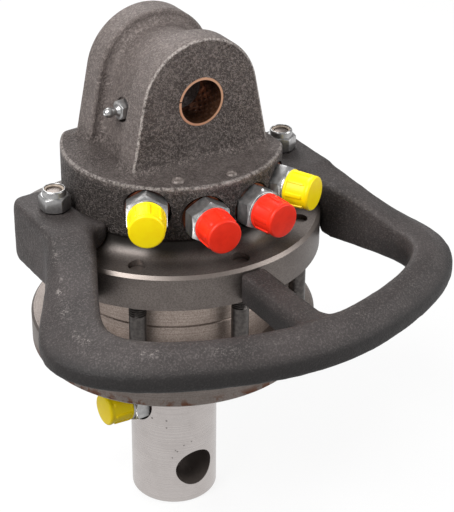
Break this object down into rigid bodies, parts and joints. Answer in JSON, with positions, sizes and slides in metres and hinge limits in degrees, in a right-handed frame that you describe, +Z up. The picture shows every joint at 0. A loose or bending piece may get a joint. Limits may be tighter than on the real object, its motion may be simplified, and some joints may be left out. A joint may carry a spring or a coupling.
{
  "type": "hydraulic grapple rotator",
  "caption": "Hydraulic vane rotator with a grooved link lug, flanged cast head, hose guard, capped hose ports and a cross-drilled output shaft that turns without limit.",
  "frame": {"origin": "centre of the upper pin bore, on the axis of the shaft", "axes": "+Z up along the shaft, +Y along both pin bores, and the hose guard bows out towards -Y"},
  "size_m": [0.3042, 0.306, 0.3756],
  "materials": {
    "head_iron": "as cast, grainy",
    "guard_iron": "as cast, scuffed",
    "ring_steel": "turned, dull",
    "plate_steel": "turned, light rust",
    "shaft_steel": "turned, bright",
    "bush_bronze": "rolled strip with grease pockets",
    "bolt_black": "black oxide",
    "zinc": "zinc plated",
    "seal_copper": "copper washer",
    "cap_yellow": "soft plastic",
    "cap_red": "soft plastic",
    "seal_rubber": "nitrile rubber",
    "ground_steel": "ground",
    "cage_brass": "machined",
    "spring_steel": "blued strip"
  },
  "bodies": {
    "body": {"head_casting": "head_iron", "hose_guard": "guard_iron", "cam_ring": "ring_steel", "bearing_ring": "ring_steel", "lower_plate": "plate_steel", "bush_front": "bush_bronze", "bush_rear": "bush_bronze", "journal_bush": "bush_bronze", "body_bolts": "bolt_black", "guard_bolts": "bolt_black", "guard_nuts": "zinc", "grease_nipple": "zinc", "fitting_outer_left": "zinc", "fitting_inner_left": "zinc", "fitting_inner_right": "zinc", "fitting_outer_right": "zinc", "seal_outer_left": "seal_copper", "seal_inner_left": "seal_copper", "seal_inner_right": "seal_copper", "seal_outer_right": "seal_copper", "cap_outer_left": "cap_yellow", "cap_outer_right": "cap_yellow", "cap_inner_left": "cap_red", "cap_inner_right": "cap_red", "swivel_seals": "seal_rubber", "joint_seals": "seal_rubber", "shaft_seal": "seal_rubber", "wiper": "seal_rubber", "dowel_pins": "ground_steel", "lower_race": "ground_steel"},
    "rotor": {"rotor_shaft": "shaft_steel", "oilway_plugs": "ground_steel", "upper_race": "ground_steel", "vane_springs": "spring_steel", "vane_1": "ground_steel", "vane_2": "ground_steel", "vane_3": "ground_steel", "vane_4": "ground_steel", "vane_5": "ground_steel", "vane_6": "ground_steel", "vane_7": "ground_steel", "vane_8": "ground_steel", "fitting_shaft_left": "zinc", "fitting_shaft_right": "zinc", "seal_shaft_left": "seal_copper", "seal_shaft_right": "seal_copper", "cap_shaft_left": "cap_yellow", "cap_shaft_right": "cap_yellow"},
    "cage": {"bearing_cage": "cage_brass", "bearing_rollers": "ground_steel"}
  },
  "joints": [
    {"name": "rotor_spin", "type": "hinge", "parent": "body", "child": "rotor", "pos_m": [0, 0, 0], "axis": [0, 0, 1], "continuous": true},
    {"name": "cage_spin", "type": "hinge", "parent": "body", "child": "cage", "pos_m": [0, 0, 0], "axis": [0, 0, 1], "continuous": true}
  ],
  "couplings": [
    {"joint": "cage_spin", "follows": "rotor_spin", "ratio": 0.5}
  ]
}
